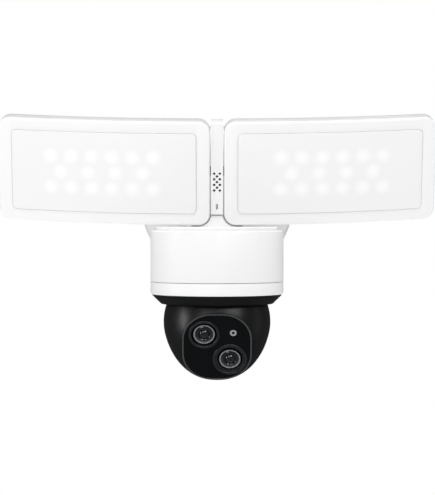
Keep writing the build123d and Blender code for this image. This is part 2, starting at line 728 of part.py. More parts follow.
def drum():
    with BuildPart() as housing:
        with BuildSketch(level(DRUM_TOP)):
            Circle(DRUM_R)
        extrude(amount=SEAM_Z - DRUM_TOP)
        fillet(housing.edges().filter_by(GeomType.CIRCLE).group_by(Axis.Z)[-1], 1.0)
        with BuildSketch(level(DRUM_TOP - DRUM_WALL)):
            Circle(DRUM_R - DRUM_WALL)
        extrude(amount=SEAM_Z - DRUM_TOP + DRUM_WALL, mode=Mode.SUBTRACT)
        # wires from the spine, and the screws up into it
        with Locations((0, -70, DRUM_TOP)):
            Cylinder(5, 10, mode=Mode.SUBTRACT)
        with Locations((-15, -72, DRUM_TOP), (15, -72, DRUM_TOP)):
            Cylinder(1.7, 10, mode=Mode.SUBTRACT)
        # hole of the set-up button at the back
        with BuildSketch(BUTTON.offset(DRUM_R - 8)):
            Circle(4.3)
        extrude(amount=12, mode=Mode.SUBTRACT)
    keep(housing.part, "drum_housing")

    with BuildPart() as ring:
        with BuildSketch(level(SEAM_Z - 0.35)):
            Circle(DRUM_R)
        extrude(amount=DRUM_BOTTOM - SEAM_Z + 0.35)
        fillet(ring.edges().filter_by(GeomType.CIRCLE).group_by(Axis.Z)[0], 2.0)
        chamfer(ring.edges().filter_by(GeomType.CIRCLE).group_by(Axis.Z)[-1], 0.4)
        with BuildSketch(level(SEAM_Z)):
            Circle(SKIRT_R + 1.2)
        extrude(amount=DRUM_BOTTOM - SEAM_Z - 1, mode=Mode.SUBTRACT)
        with BuildSketch(level(SEAM_Z)):
            Circle(DRUM_R - DRUM_WALL - 2)
        extrude(amount=DRUM_BOTTOM - SEAM_Z + 3, mode=Mode.SUBTRACT)
        # spigot that centres the ring in the drum
        with BuildSketch(level(SEAM_Z - 0.35)):
            Circle(DRUM_R - DRUM_WALL)
            Circle(DRUM_R - DRUM_WALL - 2, mode=Mode.SUBTRACT)
        extrude(amount=4)
    keep(ring.part, "drum_ring")

    with BuildPart() as bearing:
        with BuildSketch(level(TABLE_TOP - TABLE_T - 0.8)):
            Circle(DRUM_R - DRUM_WALL)
            Circle(SKIRT_R + 0.6, mode=Mode.SUBTRACT)
        extrude(amount=-3)
    keep(bearing.part, "bearing_ring")

    with BuildPart() as washer:
        with BuildSketch(level(TABLE_TOP - TABLE_T - 0.8)):
            Circle(TABLE_R)
            Circle(SKIRT_R + 0.8, mode=Mode.SUBTRACT)
        extrude(amount=0.75)
    keep(washer.part, "thrust_washer")

    motor_y = DRUM_Y + PAN_MODULE * (PAN_TEETH + PAN_PINION_TEETH) / 2
    with BuildPart() as board:
        with BuildSketch(level(DRUM_TOP - DRUM_WALL - 2.2)):
            Circle(46)
            with Locations((0, 46)):
                Rectangle(40, 22, mode=Mode.SUBTRACT)
            with GridLocations(62, 40, 2, 2):
                Circle(1.6, mode=Mode.SUBTRACT)
        extrude(amount=-1.6)
    keep(board.part, "main_board")

    with BuildPart() as shield:
        with BuildSketch(level(DRUM_TOP - DRUM_WALL - 3.8)):
            with Locations((0, -14)):
                RectangleRounded(34, 28, 1)
        extrude(amount=-3.2)
        chamfer(shield.edges().group_by(Axis.Z)[0], 0.5)
    keep(shield.part, "processor_shield")

    with BuildPart() as motor:
        with Locations((0, motor_y, 0)):
            with Locations((0, 0, -37.5)):
                Cylinder(11.5, 8.5)
            with Locations((0, 0, -41.9)):
                Cylinder(4, 0.8)
            with Locations((0, 0, -45)):
                Cylinder(1.5, 7)
    keep(motor.part, "pan_motor")

    with BuildPart() as pinion:
        with BuildSketch(Plane.XY.offset(TABLE_TOP + 0.3).move(Location((0, motor_y, 0)))):
            with BuildLine():
                Polyline(gear_outline(PAN_PINION_TEETH, PAN_MODULE, -90 + 180 / PAN_PINION_TEETH), close=True)
            make_face()
            Circle(1.55, mode=Mode.SUBTRACT)
        extrude(amount=5)
    keep(pinion.part, "pan_pinion")

    with BuildPart() as gear:
        with BuildSketch(level(TABLE_TOP)):
            with BuildLine():
                Polyline(gear_outline(PAN_TEETH, PAN_MODULE, 90), close=True)
            make_face()
            Circle(22, mode=Mode.SUBTRACT)
        extrude(amount=4.5)
    keep(gear.part, "pan_gear")

    with BuildPart() as table:
        with BuildSketch(level(TABLE_TOP)):
            Circle(TABLE_R)
            Circle(7, mode=Mode.SUBTRACT)
        extrude(amount=-TABLE_T)
        with BuildSketch(level(TABLE_TOP - TABLE_T)):
            Circle(SKIRT_R)
            Circle(SKIRT_R - 2, mode=Mode.SUBTRACT)
        extrude(amount=DRUM_BOTTOM - TABLE_TOP + TABLE_T - 0.4)
        with BuildSketch(level(TABLE_TOP - TABLE_T)):
            with PolarLocations(SKIRT_R - 3.6, 4, start_angle=45):
                Circle(2.4)
        extrude(amount=-12)
    keep(table.part, "turntable")

    with BuildPart() as collar:
        with BuildSketch(Plane(origin=(0, DRUM_Y, 0), x_dir=(1, 0, 0), z_dir=(0, -1, 0))):
            with BuildLine():
                Polyline(
                    (COLLAR_BORE_R, COLLAR_BOTTOM),
                    (COLLAR_BOTTOM_R, COLLAR_BOTTOM),
                    (COLLAR_TOP_R, DRUM_BOTTOM - 0.4),
                    (SKIRT_R - 2, DRUM_BOTTOM - 0.4),
                    (COLLAR_BORE_R, DRUM_BOTTOM - 1.6),
                    close=True,
                )
            make_face()
        revolve(axis=Axis((0, DRUM_Y, 0), (0, 0, 1)))
    keep(collar.part, "collar")

    with BuildPart() as button:
        with BuildSketch(BUTTON.offset(DRUM_R - 4.6)):
            Circle(4.0)
        extrude(amount=5.4)
        fillet(button.edges().filter_by(GeomType.CIRCLE).sort_by(BUTTON_AXIS)[-1], 0.6)
        with BuildSketch(BUTTON.offset(DRUM_R - 4.6)):
            Circle(5.2)
        extrude(amount=-1.4)
    keep(button.part, "setup_button")


# ---------------------------------------------------------------- yoke and tilt drive


def yoke_and_tilt():
    side = Plane(origin=(0, DRUM_Y, BALL_Z), x_dir=(1, 0, 0), z_dir=(0, -1, 0))
    top = TABLE_TOP - TABLE_T - BALL_Z
    with BuildPart() as yoke:
        with BuildSketch(side.offset(-STEM_T / 2)):
            with BuildLine():
                Polyline(
                    (-7, 0),
                    (7, 0),
                    (7, 16),
                    (STEM_HALF_X, 28),
                    (STEM_HALF_X, top),
                    (-STEM_HALF_X, top),
                    (-STEM_HALF_X, 28),
                    (-7, 16),
                    close=True,
                )
            make_face()
        extrude(amount=STEM_T)
        with BuildSketch(across(-7)):
            Circle(8)
        extrude(amount=14)
        with BuildSketch(across(-7)):
            Circle(AXLE_R)
        extrude(amount=14, mode=Mode.SUBTRACT)
    keep(yoke.part, "yoke")

    with BuildPart() as axle:
        with BuildSketch(across(-37)):
            Circle(AXLE_R)
        extrude(amount=74)
    keep(axle.part, "tilt_axle")

    with BuildPart() as gear:
        with BuildSketch(across(7)):
            with BuildLine():
                Polyline(gear_outline(TILT_TEETH, TILT_MODULE, -MOTOR_DOWN), close=True)
            make_face()
            Circle(AXLE_R, mode=Mode.SUBTRACT)
        extrude(amount=4.5)
    keep(gear.part, "tilt_gear")

    motor_plane = motor_across()
    with BuildPart() as motor:
        with BuildSketch(motor_plane.offset(-13)):
            Circle(7.8)
        extrude(amount=18)
        with BuildSketch(motor_plane.offset(5)):
            Circle(1.2)
        extrude(amount=8)
    keep(motor.part, "tilt_motor")

    with BuildPart() as pinion:
        with BuildSketch(motor_plane.offset(7.2)):
            with BuildLine():
                turned = 180 - MOTOR_DOWN + 180 / TILT_PINION_TEETH
                Polyline(gear_outline(TILT_PINION_TEETH, TILT_MODULE, turned), close=True)
            make_face()
            Circle(1.25, mode=Mode.SUBTRACT)
        extrude(amount=4)
    keep(pinion.part, "tilt_pinion")


# ---------------------------------------------------------------- camera ball


def ball_section(s, inset):
    """Closed outline of the ball's front at s, drawn in by inset: round at the split, squarer and lower at the face."""
    share = max(0.0, (s - SPLIT_S) / (FACE_S - SPLIT_S))
    reach_x = math.hypot(FACE_S, FACE_HALF_X)
    reach_u = math.hypot(FACE_S, FACE_HALF_U)
    half_x = math.sqrt((BALL_R + (reach_x - BALL_R) * share**2) ** 2 - s * s) - inset
    half_u = math.sqrt((BALL_R + (reach_u - BALL_R) * share**2) ** 2 - s * s) - inset
    drop = FACE_DROP * share**1.5
    power = 2 / (2 + 0.35 * share)
    points = []
    for n in range(24):
        a = 2 * math.pi * n / 24
        c, d = math.cos(a), math.sin(a)
        x = half_x * math.copysign(abs(c) ** power, c)
        u = half_u * math.copysign(abs(d) ** power, d) - drop
        points.append((x, u))
    return points


def ball_front_solid(s_from, s_to, inset):
    with BuildPart() as body:
        for n in range(5):
            s = s_from + (s_to - s_from) * n / 4
            with BuildSketch(FACE.offset(s)):
                with BuildLine():
                    Spline(ball_section(s, inset), periodic=True)
                make_face()
        loft()
    return body.part


def camera_ball():
    with BuildPart() as rear:
        with Locations(Location(tuple(BALL_CENTRE))):
            Sphere(BALL_R)
            Sphere(BALL_R - BALL_WALL, mode=Mode.SUBTRACT)
        with BuildSketch(FACE.offset(SPLIT_S)):
            Rectangle(200, 200)
        extrude(amount=80, mode=Mode.SUBTRACT)
        # bosses that turn on the axle
        for start in (-BALL_R + 1.6, BALL_R - 1.6 - 8):
            with BuildSketch(across(start)):
                Circle(6.5)
            extrude(amount=8)
        # saddle under the tilt motor
        with BuildSketch(motor_seat().offset(TILT_REACH + 3)):
            with Locations((-4, 0)):
                Rectangle(12, 11)
        extrude(amount=18)
        with BuildSketch(motor_across().offset(-14)):
            Circle(7.8)
        extrude(amount=20, mode=Mode.SUBTRACT)
        with BuildSketch(across(-37.2)):
            Circle(AXLE_R + RUN)
        extrude(amount=74.4, mode=Mode.SUBTRACT)
        # slot that the yoke's stem swings in
        with BuildSketch(across(-STEM_HALF_X - 1)):
            with BuildLine():
                far = 60
                # angles are measured from the front, upwards
                a = math.radians(SLOT_FROM)
                b = math.radians(SLOT_TO)
                near = 20
                Polyline(
                    (-near * math.cos(a), near * math.sin(a)),
                    (-far * math.cos(a), far * math.sin(a)),
                    (0, far * 1.4),
                    (-far * math.cos(b), far * math.sin(b)),
                    (-near * math.cos(b), near * math.sin(b)),
                    close=True,
                )
            make_face()
        extrude(amount=2 * STEM_HALF_X + 2, mode=Mode.SUBTRACT)
    keep(rear.part, "ball_rear_shell")

    with BuildPart() as front:
        add(ball_front_solid(SPLIT_S, FACE_S, 0))
        add(ball_front_solid(SPLIT_S - 1, FACE_S - 3, BALL_WALL), mode=Mode.SUBTRACT)
        # seat of the face plate
        with BuildSketch(FACE_MIDDLE.offset(-1.6)):
            RectangleRounded(2 * FACE_HALF_X - 3, 2 * FACE_HALF_U - 3, 22.5)
        extrude(amount=5, mode=Mode.SUBTRACT)
        with BuildSketch(FACE_MIDDLE.offset(-10)):
            with Locations(WIDE_AT):
                Circle(LENS_R + 1)
            with Locations(TELE_AT):
                Circle(LENS_R + 1)
            with Locations(SENSOR_AT):
                Circle(2.2)
        extrude(amount=20, mode=Mode.SUBTRACT)
        # posts that the sensor board is screwed to
        with BuildSketch(FACE_MIDDLE.offset(-16)):
            with GridLocations(38, 38, 2, 2):
                Circle(2.4)
        extrude(amount=13.5)
    keep(front.part, "ball_front_shell")

    with BuildPart() as plate:
        with BuildSketch(FACE_MIDDLE.offset(-1.6)):
            RectangleRounded(2 * FACE_HALF_X - 3.4, 2 * FACE_HALF_U - 3.4, 22.3)
            with Locations(WIDE_AT):
                Circle(WIDE_R, mode=Mode.SUBTRACT)
            with Locations(TELE_AT):
                Circle(TELE_R, mode=Mode.SUBTRACT)
            with Locations(SENSOR_AT):
                Circle(2.8, mode=Mode.SUBTRACT)
        extrude(amount=2.0)
    keep(plate.part, "face_plate")

    with BuildPart() as rings:
        for at, r in ((WIDE_AT, WIDE_R), (TELE_AT, TELE_R)):
            with Locations(FACE_MIDDLE.location * Location((at[0], at[1], 0))):
                with Locations(Location((0, 0, -0.1))):
                    Cylinder(r, 3.0)
                    Cylinder(LENS_R + 0.8, 3.4, mode=Mode.SUBTRACT)
    keep(rings.part, "lens_rings")

    with BuildPart() as barrels:
        for at in (WIDE_AT, TELE_AT):
            with BuildSketch(FACE_MIDDLE.offset(-16)):
                with Locations(at):
                    Circle(LENS_R)
            extrude(amount=16.6)
            with BuildSketch(FACE_MIDDLE.offset(0.7)):
                with Locations(at):
                    Circle(LENS_R - 1.6)
            extrude(amount=-4.5, mode=Mode.SUBTRACT)
    keep(barrels.part, "lens_barrels")

    with BuildPart() as glasses:
        for at in (WIDE_AT, TELE_AT):
            with BuildSketch(FACE_MIDDLE.offset(-3.8)):
                with Locations(at):
                    Circle(LENS_R - 1.6)
            extrude(amount=1.5)
            with BuildSketch(FACE_MIDDLE.offset(-2.3)):
                with Locations(at):
                    Circle(LENS_R - 1.6)
            extrude(amount=1.2, taper=50)
    keep(glasses.part, "lens_glasses")

    with BuildPart() as sensor:
        with BuildSketch(FACE_MIDDLE.offset(-3)):
            with Locations(SENSOR_AT):
                Circle(2.2)
        extrude(amount=1.4)
        with BuildSketch(FACE_MIDDLE.offset(-1.6)):
            with Locations(SENSOR_AT):
                Circle(2.75)
        extrude(amount=2.1)
        with BuildSketch(FACE_MIDDLE.offset(0.5)):
            with Locations(SENSOR_AT):
                Circle(1.1)
        extrude(amount=-1.2, mode=Mode.SUBTRACT)
    keep(sensor.part, "light_sensor")

    with BuildPart() as board:
        with BuildSketch(FACE_MIDDLE.offset(-17.6)):
            RectangleRounded(46, 46, 6)
        extrude(amount=1.6)
    keep(board.part, "sensor_board")


wall_base()
arm_and_spine()
panel_pivot()
light_panel("right")
light_panel("left")
drum()
yoke_and_tilt()
camera_ball()
print(len(finished), "nodes")
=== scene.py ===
"""A wall-mounted floodlight security camera: finishes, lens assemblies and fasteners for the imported
model, and the studio it stands in. Metres, +Z up. The wall is the plane Y = 0, the ball looks towards -Y."""

import math

import bmesh
import bpy
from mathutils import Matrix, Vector


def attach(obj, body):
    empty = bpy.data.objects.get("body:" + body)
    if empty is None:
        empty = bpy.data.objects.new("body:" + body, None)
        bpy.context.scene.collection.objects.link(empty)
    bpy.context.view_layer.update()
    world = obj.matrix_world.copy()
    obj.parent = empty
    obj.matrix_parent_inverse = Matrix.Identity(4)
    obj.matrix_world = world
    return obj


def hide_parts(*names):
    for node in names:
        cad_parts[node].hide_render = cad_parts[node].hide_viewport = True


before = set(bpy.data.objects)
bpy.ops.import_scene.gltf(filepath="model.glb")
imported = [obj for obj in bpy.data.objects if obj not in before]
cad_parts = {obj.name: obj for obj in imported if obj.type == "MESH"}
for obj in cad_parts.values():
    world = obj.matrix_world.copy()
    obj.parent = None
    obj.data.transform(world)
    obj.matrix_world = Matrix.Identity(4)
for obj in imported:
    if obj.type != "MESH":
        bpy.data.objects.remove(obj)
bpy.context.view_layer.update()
MM = 0.001

bl_info = {
    "name": "Floodlight Camera",
    "version": (1, 0, 0),
    "blender": (4, 5, 0),
    "location": "View3D > Sidebar > Floodlight Camera",
    "description": "Finishes, lens assemblies, screws and studio for a twin-panel floodlight camera",
    "category": "Object",
}

# ---------------------------------------------------------------- places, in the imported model's frame

RIGHT = Vector((1.0, 0.0, 0.0))

# both light panels turn about one pivot and look a little down
PANEL_PITCH = math.radians(12.0)
PIVOT = Vector((0.0, -107.8, 24.1)) * MM
PANEL_NORMAL = Vector((0.0, -math.cos(PANEL_PITCH), -math.sin(PANEL_PITCH)))
PANEL_UP = Vector((0.0, -math.sin(PANEL_PITCH), math.cos(PANEL_PITCH)))

# a panel seen along its up direction, in millimetres from the pivot: its face is an arc from beside the spine
PANEL_ARC = 560.0
PANEL_FRONT = 14.5
PANEL_IN = 5.8
WINDOW_MIDDLE = 91.8

# screw heads, in millimetres: where they sit, their radius and their height
BASE_SCREW_X = 27.0
BASE_SCREW_Y = -30.0
BASE_SCREW_Z = -38.0
BASE_HEAD = (4.6, 2.4)
PANEL_SCREWS_X = (21.8, 91.9, 162.0)
PANEL_SCREWS_UP = (-34.4, 34.4)
PANEL_SCREW_ARC = PANEL_ARC - 24.0
PANEL_SCREW_PROUD = 2.0
PANEL_HEAD = (2.85, 1.2)

# the ball's face looks down, and its middle is below the line through the ball's centre
FACE_PITCH = math.radians(26.0)
FACE_NORMAL = Vector((0.0, -math.cos(FACE_PITCH), -math.sin(FACE_PITCH)))
FACE_UP = Vector((0.0, -math.sin(FACE_PITCH), math.cos(FACE_PITCH)))
BALL_CENTRE = Vector((0.0, -116.0, -97.2)) * MM
FACE_OUT = 34.0
FACE_DROP = 4.15
FACE_MIDDLE = BALL_CENTRE + (FACE_NORMAL * FACE_OUT - FACE_UP * FACE_DROP) * MM

# on the face, in millimetres from its middle: each lens's place and its flared ring's outer radius, then the
# light sensor
LENSES = (((-10.2, 11.2), 12.5), ((10.2, -11.2), 13.9))
SENSOR_AT = (12.8, 12.7)
SENSOR_RADIUS = 1.2

# the bead round the face, in millimetres: half its width and height, and how far its middle stands out
BEAD = {"half_x": 26.9, "half_u": 29.1, "corner": 22.5, "thickness": 1.3, "proud": 0.1}
BEAD_CORNER_STEPS = 12
BEAD_SIDES = 10

# outlines that are turned about a lens's axis: radius, and height in front of the face, in millimetres
FLARE_BORE = 9.9
FLARE_BACK = -1.6
FLARE_ROUND = 1.2
FLARE_RISE = 0.2
FLARE_LIP = -0.6
BARREL_OUTSIDE = [(0.0, -16.0), (9.0, -16.0), (9.0, 0.2), (8.9, 0.45), (8.7, 0.45)]
BARREL_INSIDE = [(8.62, -1.7), (7.3, -1.9), (7.3, -3.6), (0.0, -3.6)]
RETAINER_INSIDE = [(7.25, -1.7), (7.25, -0.6), (7.5, -0.1), (7.9, 0.1)]
RETAINER_OUTSIDE = [(8.4, -0.1), (8.55, -0.5), (8.55, -1.7), (7.25, -1.7)]
GLASS_BACK = [(0.0, -3.3), (7.2, -3.3), (7.2, -1.1)]
GLASS_CURVE = [(6.4, -0.45), (5.5, 0.0), (4.9, 0.1), (4.4, -0.3), (4.2, -0.9)]
GLASS_MIDDLE = (4.0, 2.6, -1.2)
SENSOR_RING = [(1.2, -1.6), (1.2, 0.2), (1.5, 0.5), (2.3, 0.5), (2.65, 0.25), (2.72, -1.6), (1.2, -1.6)]

# faces that meet at more than CREASE keep a hard edge, and those at more than ROUNDED get a small round first
CREASE = math.radians(35)
ROUNDED = math.radians(40)
WELD_DISTANCE = 0.002 * MM

# the studio, in metres
FLOOR_Z = -1.6
FLOOR_HALF = 7.0
RIGHT_STRIP_SHARE = 0.1


def on_face(x, u, s=0.0):
    """A point of the camera's face, in millimetres from its middle, s in front of it."""
    return FACE_MIDDLE + (RIGHT * x + FACE_UP * u + FACE_NORMAL * s) * MM


# ---------------------------------------------------------------- settings that a user would change


class FinishSettings(bpy.types.PropertyGroup):
    white_shade: bpy.props.StringProperty(
        name="White shade", description="Colour of the white housings, as an sRGB hex value", default="F5F5F5"
    )
    opal_shade: bpy.props.StringProperty(
        name="Opal shade", description="Colour of the light windows, as an sRGB hex value", default="F5F5F5"
    )
    black_shade: bpy.props.StringProperty(
        name="Black shade",
        description="Colour of the camera ball and collar, as an sRGB hex value",
        default="0E0F10",
    )
    mould_grain: bpy.props.FloatProperty(
        name="Mould grain",
        description="Size of the moulded plastic's fine grain, in millimetres",
        default=0.55,
        min=0.05,
    )
    edge_round: bpy.props.FloatProperty(
        name="Edge round",
        description="Radius that softens the sharp edges of the housings",
        default=0.45 * MM,
        min=0.0,
        unit="LENGTH",
    )


class LightSettings(bpy.types.PropertyGroup):
    led_pitch: bpy.props.FloatProperty(
        name="LED pitch", description="Spacing of the LEDs along a row", default=16.8 * MM, unit="LENGTH"
    )
    led_row: bpy.props.FloatProperty(
        name="LED row spacing", description="Spacing of the rows of LEDs", default=12.8 * MM, unit="LENGTH"
    )
    # the pale spot is painted light: a pale, faintly glowing patch painted in the window over each LED
    spot_radius: bpy.props.FloatProperty(
        name="Spot radius",
        description="Radius of the pale spot that each LED's lens makes in the window",
        default=8.2 * MM,
        unit="LENGTH",
    )


class StageSettings(bpy.types.PropertyGroup):
    camera_distance: bpy.props.FloatProperty(
        name="Camera distance",
        description="Distance of the camera from the wall",
        default=1.578,
        unit="LENGTH",
    )
    camera_height: bpy.props.FloatProperty(
        name="Camera height",
        description="Height of the camera from the model's origin",
        default=-0.0148,
        unit="LENGTH",
    )
    camera_side: bpy.props.FloatProperty(
        name="Camera side",
        description="How far the camera stands to the right",
        default=0.0004,
        unit="LENGTH",
    )
    focal_length: bpy.props.FloatProperty(
        name="Focal length", description="Lens of the camera, in millimetres", default=132.07, min=20.0
    )
    camera_dip: bpy.props.FloatProperty(
        name="Camera dip",
        description="Angle that the camera looks down",
        default=math.radians(0.9),
        subtype="ANGLE",
    )
    key_power: bpy.props.FloatProperty(
        name="Key power", description="Power of the main softbox", default=2.3, unit="POWER"
    )
    fill_power: bpy.props.FloatProperty(
        name="Fill power", description="Power of the fill softbox", default=5.0, unit="POWER"
    )
    top_power: bpy.props.FloatProperty(
        name="Top power", description="Power of the top softbox", default=15.0, unit="POWER"
    )
    strip_power: bpy.props.FloatProperty(
        name="Strip power",
        description="Power of the left strip light; the right one has a tenth of it",
        default=2.9,
        unit="POWER",
    )
    room_gleam: bpy.props.FloatProperty(
        name="Room gleam",
        description="Strength of the room in reflections, low as with black flags",
        default=0.06,
    )
    room_light: bpy.props.FloatProperty(
        name="Room light", description="Strength of the even light from all round", default=0.34, min=0.0
    )


# ---------------------------------------------------------------- colours and nodes


def srgb(shade):
    """An sRGB hex value as the linear RGBA that Blender's sockets take."""
    parts = [int(shade[i : i + 2], 16) / 255 for i in (0, 2, 4)]
    return [c / 12.92 if c <= 0.04045 else ((c + 0.055) / 1.055) ** 2.4 for c in parts] + [1.0]


def shaded(shade, by):
    """The hex value made lighter or darker by a share."""
    parts = [min(255, max(0, round(int(shade[i : i + 2], 16) * (1 + by)))) for i in (0, 2, 4)]
    return "".join(f"{part:02X}" for part in parts)


def fill(made, inputs):
    """Give a node's inputs values, or links from other nodes' outputs."""
    for key, value in inputs.items():
        if isinstance(value, bpy.types.NodeSocket):
            made.id_data.links.new(value, made.inputs[key])
        else:
            made.inputs[key].default_value = value


def node(tree, kind, inputs=None, **settings):
    """Add a node with its settings, and fill its inputs."""
    made = tree.nodes.new(f"ShaderNode{kind}")
    for name, value in settings.items():
        setattr(made, name, value)
    fill(made, inputs or {})
    return made


def new_material(name):
    """An empty material, its tree, and its Principled shader joined to the output."""
    material = bpy.data.materials.new(name)
    material.use_nodes = True
    tree = material.node_tree
    tree.nodes.clear()
    shader = node(tree, "BsdfPrincipled")
    node(tree, "OutputMaterial", {"Surface": shader.outputs["BSDF"]})
    return material, tree, shader


def add_grain(tree, shader, grains, shades=None, roughness=None, relief=None):
    """Let a shader's colour, roughness and relief follow the grain of its material, fixed to the piece.

    grains holds each grain's size in millimetres and its detail, by name. shades is a grain and the two
    colours that it mixes, roughness a grain and its lowest and highest value, and relief a grain, its depth
    in millimetres and its strength.
    """
    at = node(tree, "TexCoord").outputs["Object"]
    noise = {}
    for name, (size, detail) in grains.items():
        # the noise has about two grains in one unit of its scale
        inputs = {"Vector": at, "Scale": 1 / (size * MM * 2), "Detail": detail, "Roughness": 0.55}
        noise[name] = node(tree, "TexNoise", inputs).outputs["Fac"]
    if shades:
        name, first, second = shades
        inputs = {"Factor": noise[name], "A": srgb(first), "B": srgb(second)}
        fill(shader, {"Base Color": node(tree, "Mix", inputs, data_type="RGBA").outputs["Result"]})
    if roughness:
        # nearly all of the noise lies between 0.3 and 0.7
        name, low, high = roughness
        inputs = {"Value": noise[name], "From Min": 0.3, "From Max": 0.7, "To Min": low, "To Max": high}
        fill(shader, {"Roughness": node(tree, "MapRange", inputs).outputs["Result"]})
    if relief:
        name, depth, strength = relief
        inputs = {"Height": noise[name], "Distance": depth * MM, "Strength": strength}
        fill(shader, {"Normal": node(tree, "Bump", inputs).outputs["Normal"]})


# ---------------------------------------------------------------- finishes


def moulded_asa(finish):
    """White ASA, moulded in a spark-eroded tool: a fine even grain breaks the shine into a soft satin."""
    # the tool's real grain is some hundredths of a millimetre: it is drawn as coarse as it needs to show
    material, tree, shader = new_material("moulded white ASA")
    add_grain(
        tree,
        shader,
        {"fine": (finish.mould_grain, 2.0), "broad": (40.0, 2.0)},
        shades=("broad", shaded(finish.white_shade, -0.012), finish.white_shade),
        roughness=("fine", 0.36, 0.46),
        relief=("fine", 0.012, 0.5),
    )
    fill(shader, {"IOR": 1.52})
    return material


def powder_coat(finish):
    """White powder coat on die-cast aluminium: satin, with a faint orange peel a millimetre or two across."""
    material, tree, shader = new_material("white powder coat")
    add_grain(
        tree,
        shader,
        {"peel": (1.6, 1.0), "dust": (60.0, 3.0)},
        # painted shade: both shades lie some 7 % below the moulded white, which greys the panels' side edges,
        # the wall base and the arm; the broad mottle between them is dust
        shades=("dust", shaded(finish.white_shade, -0.085), shaded(finish.white_shade, -0.065)),
        roughness=("dust", 0.34, 0.44),
        relief=("peel", 0.03, 0.6),
    )
    fill(shader, {"IOR": 1.5})
    return material


def painted_led_glow(tree, side, lights):
    """1 at the middle of each LED's painted pale, glowing spot and 0 away from them, along the panel's own
    directions.
    """
    away = 1.0 if side == "right" else -1.0
    lean = math.asin((WINDOW_MIDDLE - PANEL_IN) / PANEL_ARC)
    board = PIVOT + RIGHT * WINDOW_MIDDLE * away * MM
    along = RIGHT * math.cos(lean) * away - PANEL_NORMAL * math.sin(lean)
    at = node(tree, "TexCoord").outputs["Object"]
    offset = node(tree, "VectorMath", {0: at, 1: board}, operation="SUBTRACT").outputs[0]
    x = node(tree, "VectorMath", {0: offset, 1: along}, operation="DOT_PRODUCT").outputs["Value"]
    v = node(tree, "VectorMath", {0: offset, 1: PANEL_UP}, operation="DOT_PRODUCT").outputs["Value"]
    apart = node(tree, "Math", {0: x}, operation="ABSOLUTE").outputs[0]
    painted_spots = None
    # the top and bottom rows have six LEDs, and the middle one has four, a third further apart
    for row, columns, pitch in (
        (1, 6, lights.led_pitch),
        (0, 4, lights.led_pitch * 4 / 3),
        (-1, 6, lights.led_pitch),
    ):
        half = columns * pitch / 2
        inside = node(tree, "Math", {0: apart, 1: half}, operation="LESS_THAN").outputs[0]
        start = node(tree, "Math", {0: x, 1: half}, operation="ADD").outputs[0]
        step = node(tree, "Math", {0: start, 1: pitch, 2: 0.0}, operation="WRAP").outputs[0]
        dx = node(tree, "Math", {0: step, 1: pitch / 2}, operation="SUBTRACT").outputs[0]
        dv = node(tree, "Math", {0: v, 1: row * lights.led_row}, operation="SUBTRACT").outputs[0]
        dx = node(tree, "Math", {0: dx, 1: 2.0}, operation="POWER").outputs[0]
        dv = node(tree, "Math", {0: dv, 1: 2.0}, operation="POWER").outputs[0]
        far = node(tree, "Math", {0: dx, 1: dv}, operation="ADD").outputs[0]
        far = node(tree, "Math", {0: far}, operation="SQRT").outputs[0]
        fade = {"Value": far, "From Min": lights.spot_radius, "From Max": 0.0, "To Min": 0.0, "To Max": 1.0}
        glow = node(tree, "MapRange", fade, interpolation_type="SMOOTHSTEP").outputs["Result"]
        glow = node(tree, "Math", {0: glow, 1: inside}, operation="MULTIPLY").outputs[0]
        if painted_spots:
            glow = node(tree, "Math", {0: painted_spots, 1: glow}, operation="MAXIMUM").outputs[0]
        painted_spots = glow
    return painted_spots


def opal_polycarbonate(finish, lights, side):
    """Opal polycarbonate, extruded with a matt face: milky, with a painted pale spot that glows faintly where
    each LED's lens sits close.
    """
    material, tree, shader = new_material(f"{side} opal polycarbonate")
    cloud = {"cloud": (0.7, 2.0)}
    add_grain(tree, shader, cloud, roughness=("cloud", 0.28, 0.36), relief=("cloud", 0.008, 0.4))
    painted_spots = painted_led_glow(tree, side, lights)
    # painted light: the window is painted paler over each LED and glows faintly there, though the LEDs are
    # off
    window = {"Factor": painted_spots, "A": srgb(finish.opal_shade), "B": srgb("FBFBFB")}
    glow = {"Factor": painted_spots, "A": srgb("000000"), "B": srgb("FFFFFF")}
    fill(
        shader,
        {
            "Base Color": node(tree, "Mix", window, data_type="RGBA").outputs["Result"],
            "Emission Color": node(tree, "Mix", glow, data_type="RGBA").outputs["Result"],
            "Emission Strength": 0.05,
            "IOR": 1.585,
            "Subsurface Weight": 0.25,
            "Subsurface Radius": (0.004, 0.004, 0.004),
            "Subsurface Scale": 1.0,
        },
    )
    return material


def moulded_black(finish):
    """Black polycarbonate with a fine matt mould texture: dark, with one broad soft highlight."""
    # this grain is also drawn coarser than the real one, so that it shows
    material, tree, shader = new_material("moulded black polycarbonate")
    add_grain(
        tree,
        shader,
        {"fine": (0.4, 2.0), "broad": (30.0, 2.0)},
        shades=("broad", shaded(finish.black_shade, -0.12), finish.black_shade),
        roughness=("fine", 0.33, 0.40),
        relief=("fine", 0.01, 0.4),
    )
    # above plastic's usual 1.59, so that the soft highlight shows on so dark a colour
    fill(shader, {"IOR": 1.7})
    return material


def polished_black():
    """Black PMMA, polished in the tool: a deep clear reflection with a trace of ripple."""
    material, tree, shader = new_material("polished black PMMA")
    add_grain(
        tree,
        shader,
        {"ripple": (9.0, 1.0)},
        shades=("ripple", "08090A", "0C0D0F"),
        roughness=("ripple", 0.16, 0.22),
        relief=("ripple", 0.01, 0.25),
    )
    fill(shader, {"IOR": 1.49})
    return material


def black_anodised():
    """Black anodised aluminium, turned and etched: a dark metallic gleam on each step, finely broken."""
    material, tree, shader = new_material("black anodised aluminium")
    add_grain(
        tree,
        shader,
        {"fine": (0.25, 2.0)},
        shades=("fine", "1B1C1E", "2A2B2E"),
        roughness=("fine", 0.26, 0.36),
        relief=("fine", 0.006, 0.5),
    )
    fill(shader, {"Metallic": 0.8})
    return material


